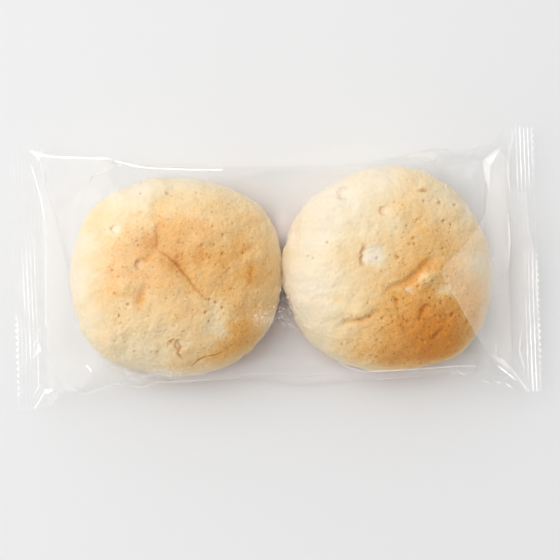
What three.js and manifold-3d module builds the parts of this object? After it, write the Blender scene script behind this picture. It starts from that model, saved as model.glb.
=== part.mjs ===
// A pair of rice flour rolls sealed in a clear pillow pack, as one solid out to the film.
// Millimetres, +Z up, +X along the pack. The origin is under the middle of the pack, on the table.
// The film is one tube: pressed flat in the crimped end seals, and pushed up into two domes by the rolls.

import * as THREE from "three";
import { ParametricGeometry } from "three/addons/geometries/ParametricGeometry.js";
import { mergeVertices } from "three/addons/utils/BufferGeometryUtils.js";
import ManifoldModule from "manifold-3d";

// Driving dimensions of the pack
const PACK_LENGTH = 216; // from cut edge to cut edge
const TUBE_WIDTH = 109; // the tube pressed flat, so its girth is twice this all the way along
const SEAL_WIDTH = 12.5; // crimped band at each end
const SEAL_HEIGHT = 9; // middle of the crimped bands above the table
const SEAL_THICKNESS = 0.7; // both layers with the crimp

// The two rolls that carry the film
const ROLLS = [
  { x: -40.3, y: -2.3, halfLength: 43.4, halfWidth: 41.0, height: 36.5 },
  { x: 45.9, y: -2.5, halfLength: 42.3, halfWidth: 42.2, height: 38.0 },
];
const ROLL_SHOULDER = 2.7; // power of a roll's outline seen from the side, over 2 for a full shoulder
const FILM_GAP = 0.6; // film above the crust
const BRIDGE_SAG = 4; // dip of the film where it crosses from one roll to the other
const BRIDGE_NARROWING = 4; // power that keeps the dip to the space between the rolls
const END_SAG = 1; // slack of the film between a roll and its seal

// Form of the tube between the seals
const FLAT_HALF_LENGTH = 78; // the underside lies on the table out to here
const CLIMB_POWER = 1.6; // how gently the underside leaves the table on its way up to a seal
const BELLY_SHARE = 0.2; // height of the widest place, as a share of the section's height
const CROWN_POWER = 2.5; // power of the section's arch over a roll
const END_POWER = 2.0; // the same beside the seals, a plain lens
const FOOT_POWER = 4; // power of the section's lower corners
const FOOT_CUT = 1.1; // how far the lower corners are overdrawn before the table cuts them flat
const PLEAT_HEIGHT = 1.2; // gathers where the tube closes into a seal
const PLEAT_PITCH = 21;
const PLEAT_ZONE = 24; // length of the gathers, measured in from the seal

// Crimping of the end seals
const RIDGES = 7;
const RIDGE_PITCH = 1.6;
const RIDGE_HEIGHT = 0.45;
const TOOTH_PITCH = 2.6; // of the pinked cut edge
const TOOTH_DEPTH = 1.0;

// Fineness of the solid
const STATIONS = 48;
const RING_SIDES = 44;
const SAMPLES_PER_ROLL = 40;
const WIDTH_HALVINGS = 40;
const WELD = 1e-4;
const SEAL_OVERLAP = 1.2; // how far the crimped band reaches into the tube, to fuse with it

const BODY_HALF = PACK_LENGTH / 2 - SEAL_WIDTH;
const END_REACH = BODY_HALF - ROLLS[1].x; // from a seal to the middle of its roll
const TUBE_GIRTH = 2 * TUBE_WIDTH;

const wasm = await ManifoldModule();
wasm.setup();

const { clamp, lerp } = THREE.MathUtils;
const clamp01 = (value) => clamp(value, 0, 1);
const smoothStep = (value) => clamp01(value) ** 2 * (3 - 2 * clamp01(value));
const signedPower = (value, power) => Math.sign(value) * Math.abs(value) ** power;

// A closed three.js geometry as a solid, with its shared corners merged and empty triangles dropped.
function solidFrom(geometry) {
  const bare = geometry.clone();
  bare.deleteAttribute("normal");
  bare.deleteAttribute("uv");
  const merged = mergeVertices(bare, WELD);
  const corners = merged.index.array;
  const triangles = [];
  for (let i = 0; i < corners.length; i += 3) {
    const [a, b, c] = corners.slice(i, i + 3);
    if (a !== b && b !== c && c !== a) triangles.push(a, b, c);
  }
  const mesh = new wasm.Mesh({
    numProp: 3,
    vertProperties: merged.attributes.position.array,
    triVerts: new Uint32Array(triangles),
  });
  return new wasm.Manifold(mesh);
}

// A solid as a three.js geometry.
function geometryFrom(solid) {
  const mesh = solid.getMesh();
  const geometry = new THREE.BufferGeometry();
  geometry.setAttribute("position", new THREE.BufferAttribute(mesh.vertProperties, 3));
  geometry.setIndex(new THREE.BufferAttribute(mesh.triVerts, 1));
  geometry.computeVertexNormals();
  return geometry;
}

// Height of a roll's outline, from 1 at its middle to 0 at its rim.
function domeShare(reach) {
  return Math.max(0, 1 - Math.abs(reach) ** ROLL_SHOULDER) ** (1 / ROLL_SHOULDER);
}

// Top of the crust, with the film on it, over a place on the table; nothing beyond the rolls.
function crustHeight(x, y) {
  let highest = 0;
  for (const roll of ROLLS) {
    const along = (x - roll.x) / (roll.halfLength + FILM_GAP);
    const aside = (y - roll.y) / (roll.halfWidth + FILM_GAP);
    highest = Math.max(highest, (roll.height + FILM_GAP) * domeShare(Math.hypot(along, aside)));
  }
  return highest;
}

function turnsDown(before, middle, after) {
  const first = middle.clone().sub(before);
  const second = after.clone().sub(middle);
  return first.cross(second) < 0;
}

// Film height over the rolls' middle line: a string pulled tight from seal to seal over both of them.
function tautCrown() {
  const points = [new THREE.Vector2(-BODY_HALF, SEAL_HEIGHT + SEAL_THICKNESS / 2)];
  for (const roll of ROLLS) {
    for (let i = 1; i < SAMPLES_PER_ROLL; i++) {
      const along = (2 * i) / SAMPLES_PER_ROLL - 1;
      const height = roll.height * domeShare(along) + FILM_GAP;
      points.push(new THREE.Vector2(roll.x + along * roll.halfLength, height));
    }
  }
  points.push(new THREE.Vector2(BODY_HALF, SEAL_HEIGHT + SEAL_THICKNESS / 2));
  const string = [];
  for (const point of points) {
    while (string.length > 1 && !turnsDown(string.at(-2), string.at(-1), point)) string.pop();
    string.push(point);
  }
  return string;
}

const CROWN = tautCrown();

// How far a place lies on the way from the left roll's middle to the right one's.
function betweenRolls(x) {
  return clamp01((x - ROLLS[0].x) / (ROLLS[1].x - ROLLS[0].x));
}

// The tight string, let down between the rolls and beyond them.
function crownHeight(x) {
  const next = Math.max(1, CROWN.findIndex((point) => point.x >= x));
  const [from, to] = [CROWN[next - 1], CROWN[next]];
  const tight = lerp(from.y, to.y, (x - from.x) / (to.x - from.x));
  const bridge = BRIDGE_SAG * Math.sin(Math.PI * betweenRolls(x)) ** BRIDGE_NARROWING;
  const outward = clamp01((BODY_HALF - Math.abs(x)) / END_REACH);
  return tight - bridge - END_SAG * Math.sin(Math.PI * outward) ** 2;
}

// The underside lies flat, then climbs to the seals.
function undersideHeight(x) {
  const climb = clamp01((Math.abs(x) - FLAT_HALF_LENGTH) / (BODY_HALF - FLAT_HALF_LENGTH));
  return (SEAL_HEIGHT - SEAL_THICKNESS / 2) * climb ** CLIMB_POWER;
}

// The tube's middle follows the rolls, which lie a little to one side, and ends at the seals' middle.
function middleLine(x) {
  const offset = lerp(ROLLS[0].y, ROLLS[1].y, betweenRolls(x));
  return offset * smoothStep((BODY_HALF - Math.abs(x)) / PLEAT_ZONE);
}

// One point of a section, at a turn from 0 to 1 round the tube: an arch above the belly, flat-footed below.
function sectionPoint(turn, halfWidth, height, archPower) {
  const angle = 2 * Math.PI * turn;
  const belly = BELLY_SHARE * height;
  const upper = turn <= 0.5;
  const power = upper ? archPower : FOOT_POWER;
  const y = halfWidth * signedPower(Math.cos(angle), 2 / power);
  const lift = Math.abs(Math.sin(angle)) ** (2 / power);
  const z = upper ? belly + (height - belly) * lift : Math.max(0, belly * (1 - FOOT_CUT * lift));
  return new THREE.Vector2(y, z);
}

function girth(halfWidth, height, archPower) {
  let length = 0;
  let last = sectionPoint(0, halfWidth, height, archPower);
  for (let i = 1; i <= RING_SIDES; i++) {
    const next = sectionPoint(i / RING_SIDES, halfWidth, height, archPower);
    length += next.distanceTo(last);
    last = next;
  }
  return length;
}

// The film doesn't stretch, so each section is as wide as its height leaves of the tube's girth.
function sectionAt(x) {
  const base = undersideHeight(x);
  const height = crownHeight(x) - base;
  const inward = smoothStep((BODY_HALF - Math.abs(x)) / (BODY_HALF - FLAT_HALF_LENGTH) / 2);
  const archPower = lerp(END_POWER, CROWN_POWER, inward);
  let [narrow, wide] = [0, TUBE_WIDTH / 2];
  for (let i = 0; i < WIDTH_HALVINGS; i++) {
    const middle = (narrow + wide) / 2;
    if (girth(middle, height, archPower) < TUBE_GIRTH) narrow = middle;
    else wide = middle;
  }
  return { x, base, height, archPower, halfWidth: wide, middle: middleLine(x) };
}

// Gathers that run from the seals up to the rolls, fading out at both ends.
function pleat(x, y, lift) {
  const inFromSeal = clamp01((BODY_HALF - Math.abs(x)) / PLEAT_ZONE);
  const fade = lift * Math.sin(Math.PI * inFromSeal) ** 2;
  return PLEAT_HEIGHT * fade * Math.cos((2 * Math.PI * y) / PLEAT_PITCH);
}

// The tube between the seals, closed by a flat cap at each end. Its sections crowd towards the seals.
function filmTube() {
  const sections = [];
  for (let i = 0; i <= STATIONS; i++) {
    sections.push(sectionAt(-BODY_HALF * Math.cos((Math.PI * i) / STATIONS)));
  }
  const rows = STATIONS + 2;
  const surface = (turn, along, target) => {
    const row = Math.round(along * rows);
    const { x, base, height, archPower, halfWidth, middle } = sections[clamp(row - 1, 0, STATIONS)];
    if (row === 0 || row === rows) return target.set(x, middle, base + height / 2);
    const point = sectionPoint(turn % 1, halfWidth, height, archPower);
    const y = middle + point.x;
    const lift = Math.max(0, Math.sin(2 * Math.PI * turn));
    const film = base + point.y + pleat(x, point.x, lift);
    return target.set(x, y, lift > 0 ? Math.max(film, crustHeight(x, y)) : film);
  };
  return solidFrom(new ParametricGeometry(surface, RING_SIDES, rows));
}

// Both layers of film pressed into even ridges that run across the pack, drawn from the side.
function crimpProfile() {
  const firstRidge = SEAL_WIDTH - RIDGES * RIDGE_PITCH;
  const line = [[-SEAL_OVERLAP, 0], [firstRidge, 0]];
  for (let i = 0; i < RIDGES; i++) {
    const start = firstRidge + i * RIDGE_PITCH;
    line.push([start + RIDGE_PITCH / 4, RIDGE_HEIGHT]);
    line.push([start + (3 * RIDGE_PITCH) / 4, -RIDGE_HEIGHT]);
  }
  line.push([SEAL_WIDTH + TOOTH_DEPTH, 0]);
  const upper = line.map(([x, z]) => new THREE.Vector2(x, z + SEAL_THICKNESS / 2));
  const lower = line.map(([x, z]) => new THREE.Vector2(x, z - SEAL_THICKNESS / 2)).reverse();
  return new THREE.Shape([...upper, ...lower]);
}

// The band's outline from above, with its pinked edge.
function pinkedOutline() {
  const half = TUBE_WIDTH / 2;
  const inner = -2 * SEAL_OVERLAP;
  const teeth = Math.round(TUBE_WIDTH / TOOTH_PITCH);
  const outline = [new THREE.Vector2(inner, half), new THREE.Vector2(inner, -half)];
  for (let i = 0; i <= 2 * teeth; i++) {
    const notch = i % 2 === 0 ? TOOTH_DEPTH : 0;
    outline.push(new THREE.Vector2(SEAL_WIDTH - notch, -half + (i * TUBE_WIDTH) / (2 * teeth)));
  }
  return new THREE.Shape(outline);
}

// One crimped band, running out along +X from the end of the tube.
function endSeal() {
  const tall = 4 * (RIDGE_HEIGHT + SEAL_THICKNESS);
  const crimped = new THREE.ExtrudeGeometry(crimpProfile(), { depth: 2 * TUBE_WIDTH, bevelEnabled: false });
  crimped.rotateX(Math.PI / 2).translate(0, TUBE_WIDTH, 0);
  const pinked = new THREE.ExtrudeGeometry(pinkedOutline(), { depth: tall, bevelEnabled: false });
  pinked.translate(0, 0, -tall / 2);
  const band = geometryFrom(solidFrom(crimped).intersect(solidFrom(pinked)));
  return band.translate(BODY_HALF, 0, SEAL_HEIGHT);
}

function rollPack() {
  const seal = endSeal();
  const rightSeal = solidFrom(seal);
  const leftSeal = solidFrom(seal.clone().rotateZ(Math.PI));
  const solid = filmTube().add(rightSeal).add(leftSeal);
  const material = new THREE.MeshStandardMaterial({ color: 0xf1dcb4, roughness: 0.35, metalness: 0 });
  const mesh = new THREE.Mesh(geometryFrom(solid), material);
  mesh.name = "roll_pack";
  return mesh;
}

const pack = new THREE.Group();
pack.add(rollPack());

export default pack;
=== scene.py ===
import math

import bpy
import numpy as np
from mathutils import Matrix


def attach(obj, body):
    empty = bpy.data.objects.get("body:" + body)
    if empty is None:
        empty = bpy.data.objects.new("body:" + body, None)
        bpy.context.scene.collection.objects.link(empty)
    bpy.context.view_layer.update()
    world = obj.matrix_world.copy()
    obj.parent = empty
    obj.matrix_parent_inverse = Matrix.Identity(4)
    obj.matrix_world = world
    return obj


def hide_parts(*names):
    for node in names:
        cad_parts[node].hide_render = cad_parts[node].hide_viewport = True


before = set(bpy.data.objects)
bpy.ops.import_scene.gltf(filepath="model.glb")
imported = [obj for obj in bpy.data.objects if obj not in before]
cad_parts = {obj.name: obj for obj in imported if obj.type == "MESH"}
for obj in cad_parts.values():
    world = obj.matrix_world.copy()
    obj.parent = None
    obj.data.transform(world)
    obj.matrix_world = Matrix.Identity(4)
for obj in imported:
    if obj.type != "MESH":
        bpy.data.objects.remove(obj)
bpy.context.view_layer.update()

# The two rolls
# Round buns of rice flour batter, baked side by side on a flat sheet until the tops turn golden. The crust is
# thin and satin, full of burst bubbles, with creases where it rose unevenly, and the sides stay pale.

MM = 0.001

# Places read off the photograph are pixels of its 560 by 560 frame. The camera stood straight above the pack.
FRAME_PIXELS = 560
CAMERA_HEIGHT = 900
PIXEL_SIZE = 0.41
PIXEL_SIZE_HEIGHT = 10
PACK_PIXEL = np.array([276, 268])
PACK_TURN = math.radians(2.06)


def to_photo(points):
    """The pixels of the photograph where points of the pack, in millimetres, are seen."""
    scale = PIXEL_SIZE * (CAMERA_HEIGHT - points[:, 2]) / (CAMERA_HEIGHT - PIXEL_SIZE_HEIGHT)
    right = points[:, 0] * math.cos(PACK_TURN) - points[:, 1] * math.sin(PACK_TURN)
    up = points[:, 0] * math.sin(PACK_TURN) + points[:, 1] * math.cos(PACK_TURN)
    seen = np.stack([right, -up], axis=1) + (PACK_PIXEL - FRAME_PIXELS / 2) * PIXEL_SIZE
    return FRAME_PIXELS / 2 + seen / scale[:, None]


def hex_colour(code):
    """An sRGB hex colour as linear red, green, blue and a full alpha."""
    channels = [int(code[i:i + 2], 16) / 255 for i in (0, 2, 4)]
    return [c / 12.92 if c <= 0.04045 else ((c + 0.055) / 1.055) ** 2.4 for c in channels] + [1.0]


def add_node(material, kind, settings=None, **inputs):
    """A shader node with its settings, and its inputs set to values or linked from other nodes' outputs."""
    node = material.node_tree.nodes.new(kind)
    for name, value in (settings or {}).items():
        setattr(node, name, value)
    for name, value in inputs.items():
        socket = node.inputs[int(name[1:])] if name[0] == "_" else node.inputs[name.replace("_", " ")]
        if isinstance(value, bpy.types.NodeSocket):
            material.node_tree.links.new(value, socket)
        else:
            socket.default_value = value
    return node


def new_material(name):
    """An empty node material and its output node."""
    material = bpy.data.materials.new(name)
    material.use_nodes = True
    material.node_tree.nodes.clear()
    return material, add_node(material, "ShaderNodeOutputMaterial")


def apply_modifier(piece, kind, **settings):
    """Adds one modifier to a piece and applies it."""
    modifier = piece.modifiers.new(kind.title(), kind)
    for name, value in settings.items():
        setattr(modifier, name, value)
    bpy.context.view_layer.objects.active = piece
    bpy.ops.object.modifier_apply(modifier=modifier.name)


def get_points(piece):
    """A mesh's points as an array, in millimetres."""
    flat = np.empty(len(piece.data.vertices) * 3)
    piece.data.vertices.foreach_get("co", flat)
    return flat.reshape(-1, 3) / MM


def set_points(piece, points):
    """Moves a mesh's points, given in millimetres."""
    piece.data.vertices.foreach_set("co", (points * MM).ravel())
    piece.data.update()


def get_normals(piece):
    """The directions that a mesh's points face."""
    flat = np.empty(len(piece.data.vertices) * 3)
    piece.data.vertex_normals.foreach_get("vector", flat)
    return flat.reshape(-1, 3)


def set_attribute(piece, name, values):
    """Stores one number for each point of a mesh, for its material."""
    attribute = piece.data.attributes.new(name, "FLOAT", "POINT")
    attribute.data.foreach_set("value", values)


def stored(material, name):
    """The numbers that a mesh stores for its material, as a node's output."""
    return add_node(material, "ShaderNodeAttribute", {"attribute_name": name}).outputs["Fac"]


def math_node(material, operation, *values):
    """A sum of one kind on two or three values, as a node's output."""
    inputs = {f"_{i}": value for i, value in enumerate(values)}
    return add_node(material, "ShaderNodeMath", {"operation": operation}, **inputs).outputs[0]


def clouds(name, size):
    """A soft cloud pattern for displacing, with blobs of that size in millimetres."""
    texture = bpy.data.textures.new(name, "CLOUDS")
    texture.noise_scale = size * MM
    texture.noise_depth = 2
    return texture


def smooth_step(value):
    """Rises softly from 0 to 1 while the value does, and stays level beyond."""
    value = np.clip(value, 0, 1)
    return value * value * (3 - 2 * value)


def line_distance(places, line):
    """How far each place lies from a line of points, and how far along the line that is, 0 to 1."""
    nearest = np.full(len(places), np.inf)
    share = np.zeros(len(places))
    for i in range(len(line) - 1):
        step = line[i + 1] - line[i]
        along = np.clip(((places - line[i]) @ step) / (step @ step), 0, 1)
        away = np.linalg.norm(places - (line[i] + along[:, None] * step), axis=1)
        closer = away < nearest
        nearest[closer] = away[closer]
        share[closer] = (i + along[closer]) / (len(line) - 1)
    return nearest, share


def falloff(distance, width):
    """1 on a mark's middle, falling softly to nothing at its width."""
    return 1 - smooth_step(distance / width)


ROLL_HALVINGS = 7  # times that each side of the starting cube is halved
ROLL_LIFT = 0.5  # the film lies between the rolls and the table
ROLL_CROWDING = 1.35  # draws the points up towards the top, which shows
ROLL_SHOULDER = 2.5
ROLL_BELLY = 11  # height of the widest place
ROLL_FOOT_POWER = 3.2
ROLL_FOOT_CUT = 1.06  # how far the foot is overdrawn before the sheet flattens it


def baked_roll(name, middle, half_length, half_width, height, bulges, halvings=ROLL_HALVINGS):
    """A cube blown up to a round bun: flat underneath, full at the shoulders, with bulges all round."""
    bpy.ops.object.select_all(action="DESELECT")
    bpy.ops.mesh.primitive_cube_add(size=2 * MM)
    roll = bpy.context.object
    roll.name = name
    apply_modifier(roll, "SUBSURF", subdivision_type="SIMPLE", levels=halvings, render_levels=halvings)
    apply_modifier(roll, "CAST", cast_type="SPHERE", factor=1.0, radius=MM, size=MM, use_radius_as_size=False)
    ball = get_points(roll)
    ball /= np.linalg.norm(ball, axis=1)[:, None]
    from_top = math.pi * (np.arccos(np.clip(ball[:, 2], -1, 1)) / math.pi) ** ROLL_CROWDING
    lift = np.cos(from_top)
    power = np.where(lift > 0, ROLL_SHOULDER, ROLL_FOOT_POWER)
    rise = np.abs(lift) ** (2 / power)
    reach = np.abs(np.sin(from_top)) ** (2 / power)
    heading = np.arctan2(ball[:, 1], ball[:, 0])
    swell = np.zeros(len(ball))
    for direction, amount, spread in bulges:
        turn = (heading - math.radians(direction) + math.pi) % (2 * math.pi) - math.pi
        swell += amount * np.exp(-(turn / math.radians(spread)) ** 2)
    above = ROLL_BELLY + (height - ROLL_BELLY) * rise
    below = np.maximum(0, ROLL_BELLY * (1 - ROLL_FOOT_CUT * rise))
    set_points(roll, np.stack([
        middle[0] + (half_length + swell) * reach * np.cos(heading),
        middle[1] + (half_width + swell) * reach * np.sin(heading),
        ROLL_LIFT + np.where(lift > 0, above, below),
    ], axis=1))
    bpy.ops.object.shade_smooth()
    return roll


LEFT_SHAPE = {
    "middle": (-40.3, -2.1), "half_length": 42.7, "half_width": 40.4, "height": 35.6,
    "bulges": [(34, 2.6, 20), (141, 3.0, 22), (184, 0.9, 15), (222, 3.2, 22), (312, 1.1, 24)],
}
RIGHT_SHAPE = {
    "middle": (45.9, -2.4), "half_length": 42.3, "half_width": 42.2, "height": 36.6,
    "bulges": [
        (28, -1.0, 24), (82, 0.6, 20), (118, -0.7, 16), (150, 1.3, 20), (180, 1.3, 15), (216, 1.4, 18),
        (276, -1.0, 15), (318, 2.6, 22)],
}
left_roll = baked_roll("left_roll", **LEFT_SHAPE)
right_roll = baked_roll("right_roll", **RIGHT_SHAPE)


def wavy_noise(places, size, seed):
    """Soft random swells about as long as that size, roughly between -2 and 2."""
    draw = np.random.default_rng(seed)
    total = np.zeros(len(places))
    for _ in range(24):
        heading = draw.uniform(0, 2 * math.pi)
        pitch = size * draw.uniform(0.7, 1.6)
        along = places[:, 0] * math.cos(heading) + places[:, 1] * math.sin(heading)
        total += np.sin(2 * math.pi * along / pitch + draw.uniform(0, 2 * math.pi))
    return total / math.sqrt(12)


# Soft lobes that rose more than the rest: pixel across, pixel down, radius and rise in millimetres
left_lobes = [
    (199, 211, 18, 1.2), (155, 188, 9, 1.1), (137, 234, 11, 0.6), (101, 247, 10, 0.5), (165, 283, 11, 0.9),
    (183, 313, 11, 0.6), (254, 259, 7, 1.0), (215, 270, 6, 0.6), (241, 333, 9, 0.7), (111, 341, 9, 0.5),
    (203, 236, 6, 0.5), (240, 300, 8, 0.5), (128, 288, 6, 0.5), (148, 330, 8, 0.5), (233, 222, 7, 0.4),
]
right_lobes = [
    (428, 278, 7, 0.9), (396, 271, 9, 0.7), (418, 333, 13, 0.7), (360, 310, 8, 0.9), (318, 295, 5, 0.6),
    (301, 303, 5, 0.5), (331, 312, 5, 0.5), (407, 214, 8, 0.5), (341, 214, 9, 0.6), (331, 257, 9, 0.6),
    (456, 214, 6, 0.5), (398, 342, 8, 0.5), (448, 335, 7, 0.5), (345, 342, 7, 0.5), (437, 240, 8, 0.5),
]
# Burst bubbles: pixel across, pixel down, radius and depth in millimetres
left_dents = [
    (202, 257, 3.4, 0.6), (230, 271, 2.2, 0.8), (216, 312, 5.0, 0.6),
    (113, 271, 1.0, 0.6), (118.5, 277, 0.9, 0.5), (114.5, 293.5, 0.9, 0.5), (128, 306, 1.5, 0.8),
    (119.5, 317, 1.4, 0.7), (149.5, 235.5, 1.0, 0.5), (167, 194, 1.1, 0.6), (140.5, 194, 1.0, 0.4),
    (203, 246, 1.3, 0.5), (213, 228.5, 1.0, 0.5), (224, 234.5, 1.1, 0.5), (214, 245, 1.0, 0.5),
    (177.5, 258, 1.1, 0.5), (223, 255, 1.4, 0.6), (245, 246.5, 1.1, 0.5), (250.5, 275, 1.5, 0.3),
    (231, 289.5, 1.2, 0.5), (209, 300, 1.1, 0.8), (216, 303.5, 1.2, 0.8), (223, 308, 1.2, 0.7),
    (205, 313, 1.1, 0.9), (210, 321.5, 1.0, 0.8), (193.5, 310, 0.8, 0.5), (158.5, 353, 0.9, 0.6),
    (152, 353, 0.9, 0.6), (134.5, 352, 0.9, 0.5), (172, 343, 1.5, 0.7), (113, 229, 2.0, 0.4),
]
right_dents = [
    (377, 258.5, 1.0, 0.7), (386, 210.5, 2.0, 0.7), (395, 202, 0.8, 0.4), (424, 201, 1.2, 0.5),
    (440, 204, 1.3, 0.5), (455, 205, 1.4, 0.6), (444, 221, 1.1, 0.7), (451.5, 225, 1.0, 0.7),
    (417.5, 221, 1.0, 0.5), (407, 226, 0.9, 0.5), (413.5, 239, 1.2, 0.6), (415, 244, 1.1, 0.6),
    (442.5, 248.5, 1.1, 0.7), (430, 254.5, 0.9, 0.5), (418.5, 287, 1.1, 0.7), (424, 281, 1.0, 0.6),
    (432.5, 281, 1.0, 0.6), (397.5, 301, 1.5, 0.8), (423, 311.5, 2.0, 0.7), (382, 318, 1.1, 0.7),
    (394, 321.5, 1.2, 0.7), (420, 319, 1.2, 0.7), (452.5, 315, 1.5, 0.8), (467, 323, 1.2, 0.8),
    (435, 335, 1.4, 0.8), (423, 340, 1.1, 0.8), (440, 323, 1.1, 0.6), (307.5, 257, 0.9, 0.5),
    (313, 259, 0.9, 0.5), (328, 243, 1.2, 0.4), (444, 292, 3.2, 0.6), (453, 284, 2.7, 0.5),
    (399, 258, 1.3, 0.5), (374, 225, 1.6, 0.4), (436, 316, 1.2, 0.5), (408, 322, 1.3, 0.5),
]
# Burst blisters with a sharp lip on the left: pixel across, pixel down, radius and depth in millimetres, and
# how floury the floor is
left_blisters = [(180, 344.5, 2.6, 0.8, 0.35), (114, 228, 2.0, 0.5, 1.0), (140.5, 264.5, 2.6, 0.8, 0.3)]
right_blisters = [
    (367, 256, 4.6, 1.0, 1.0), (347, 193, 4.4, 0.4, 0.6), (385, 210.5, 2.4, 0.6, 0.5),
    (408.5, 289, 2.2, 0.4, 0.8),
]
BLISTER_SLOPE = 0.55  # how much further a blister's floor runs out to the right
# Creases and cracks, or ridges where the depth is negative: line of pixels, half width and depth in
# millimetres
left_creases = [
    ([(205, 191), (175, 195), (162, 203), (157, 213)], 4.6, 0.8),
    ([(156, 226), (157, 238), (156.5, 250)], 0.7, 0.3),
    ([(157, 211), (161, 221), (157, 236), (156.5, 250)], 3.0, 0.35),
    ([(130, 217), (145, 212), (155, 220), (162, 230)], 2.0, 0.3),
    ([(156.5, 250), (166, 255), (178, 266), (190, 281), (206, 300)], 0.7, 0.7),
    ([(156.5, 250), (173, 261), (190, 281), (206, 300)], 4.2, 0.6),
    ([(156, 251), (147, 257), (139, 264)], 2.6, 0.5),
    ([(148, 284), (142, 296), (137, 309)], 2.6, 0.8),
    ([(240, 257), (247, 250), (260, 244)], 2.2, 0.7),
    ([(168, 347), (168.5, 342), (173, 339.5), (178, 342)], 0.6, 0.4),
    ([(178, 342), (181, 348), (178, 354), (184, 360)], 0.7, 0.9),
    ([(192.5, 366), (200, 359), (207, 356)], 0.6, 0.7),
    ([(207, 356), (214, 355), (223, 352)], 0.5, 0.4),
    ([(214, 305), (214, 318), (216, 330)], 3.0, 0.4),
]
right_creases = [
    ([(419, 191), (429, 189.5)], 1.0, 0.9),
    ([(386, 289), (402, 284), (411, 279), (422, 268), (432, 260)], 2.6, 1.7),
    ([(414, 290), (429, 279), (443, 269)], 3.2, -0.6),
    ([(338, 328), (346, 323), (356, 321), (366, 319), (378, 312)], 2.2, 1.4),
    ([(340, 320), (362, 311), (378, 303)], 5.0, -0.5),
    ([(395, 299), (398, 304), (399, 309)], 1.8, 0.9),
    ([(428, 304), (424, 310), (420, 318)], 1.8, 1.0),
    ([(442, 328), (436, 333), (429, 340)], 1.3, 0.6),
    ([(376, 300), (390, 292), (402, 296)], 2.2, 0.5),
    ([(296, 292), (312, 300), (330, 298), (346, 303)], 3.0, 0.5),
]
# Where the crust is browned more or less than all over, mostly by the oven; on the rims partly painted light,
# paler upper left facing the window, darker lower right facing away: pixel across, pixel down, radius in
# pixels and how much
left_browning = [
    (195, 245, 75, 0.14), (240, 290, 55, 0.2), (160, 228, 40, 0.14), (145, 275, 60, 0.12),
    (202, 256, 14, 0.16), (250, 275, 9, 0.22), (139, 190, 42, -0.28), (80, 280, 34, -0.12),
    (145, 355, 55, -0.14), (216, 312, 17, -0.28), (217, 330, 13, -0.26), (180, 330, 30, 0.04),
    (150, 245, 12, 0.14), (175, 262, 14, 0.12), (139, 298, 10, 0.12), (228, 252, 22, 0.08),
    (246, 250, 12, 0.12), (185, 350, 24, -0.06), (113, 228, 9, -0.3), (118, 320, 24, 0.04),
    (120, 250, 40, 0.08), (250, 222, 25, 0.1), (220, 358, 24, 0.16), (265, 270, 20, 0.08),
    (243, 338, 30, 0.3), (185, 366, 30, 0.2), (220, 352, 20, 0.1), (190, 183, 30, -0.2),
    (76, 280, 22, -0.16), (110, 282, 28, 0.12), (185, 270, 110, 0.07), (200, 228, 20, 0.08),
    (86, 243, 20, -0.2), (90, 322, 18, -0.14),
]
right_browning = [
    (430, 325, 85, 0.42), (400, 338, 60, 0.1), (450, 348, 45, 0.2), (428, 235, 70, 0.17),
    (405, 190, 26, 0.02), (322, 205, 78, -0.27), (305, 300, 58, -0.26), (347, 193, 16, -0.22),
    (374, 255, 13, -0.5), (345, 262, 30, 0.08), (426, 277, 12, -0.2), (446, 290, 13, -0.34),
    (442, 195, 30, -0.2), (476, 208, 22, -0.26), (360, 290, 30, -0.04), (420, 268, 14, 0.1),
    (335, 345, 30, -0.1), (392, 226, 14, -0.14), (346, 243, 18, 0.05), (352, 352, 30, 0.16),
    (482, 262, 24, -0.28), (392, 360, 24, 0.16), (430, 360, 24, 0.14), (385, 175, 30, -0.2),
]
BROWN_ALL_OVER = 0.34
CREASE_SHADE = 0.1  # painted shade: browner in the creases, paler on the ridges
SIDE_BROWN = 0.2  # share of the browning that the sides keep
PALE_BELOW = 8  # height where the sides have lost all colour
BROWN_ABOVE = 28  # height from which the oven browned fully
FOOT_BELOW = 11  # height below which the hot sheet browned the foot
FOOT_FADE = 4
FOOT_BROWN = 1.0
FOOT_SHADE_HEADING = np.array([0.8, -0.6])  # towards the other roll and the near side, where the roll's shade falls
MARKS_FROM = 4  # height from which the crust has marks
MARKS_FADE = 6
WANDER = 1.6  # how far the outlines of the marks wander, in pixels
WANDER_LENGTH = 24
RAGGED = 0.7
RAGGED_LENGTH = 7
PORES = 60
PORE_SIZES = (0.4, 0.8)
PORE_DEPTHS = (0.12, 0.34)
PORE_REACH = 36  # how far from a roll's middle the pores go
PORE_SCORCH_AND_SHADE = 0.65
CREASE_SCORCH_AND_SHADE = 0.65
LIP_SCORCH_AND_SHADE = 0.6
DENT_DEPTH = 0.7  # share of a dent's depth that the baking left
DENT_SCORCH_AND_SHADE = 0.4
DEEP_SCORCH_AND_SHADE = 0.6  # added for each millimetre of depth, as painted shade
MOST_SCORCH_AND_SHADE = 0.95
# painted highlight on a small dent's wall that faces the window, stored with the flour
DENT_PAINTED_HIGHLIGHT = 0.15
SCORCHED_AND_SHADED_DENT = 1.6  # dents up to this radius are browned and painted with shade inside
PIT_LEAN = 0.3  # how far the browning and painted shade lie off a pit's middle, towards its upper-left wall that faces away from the window, as a share of its radius


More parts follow.
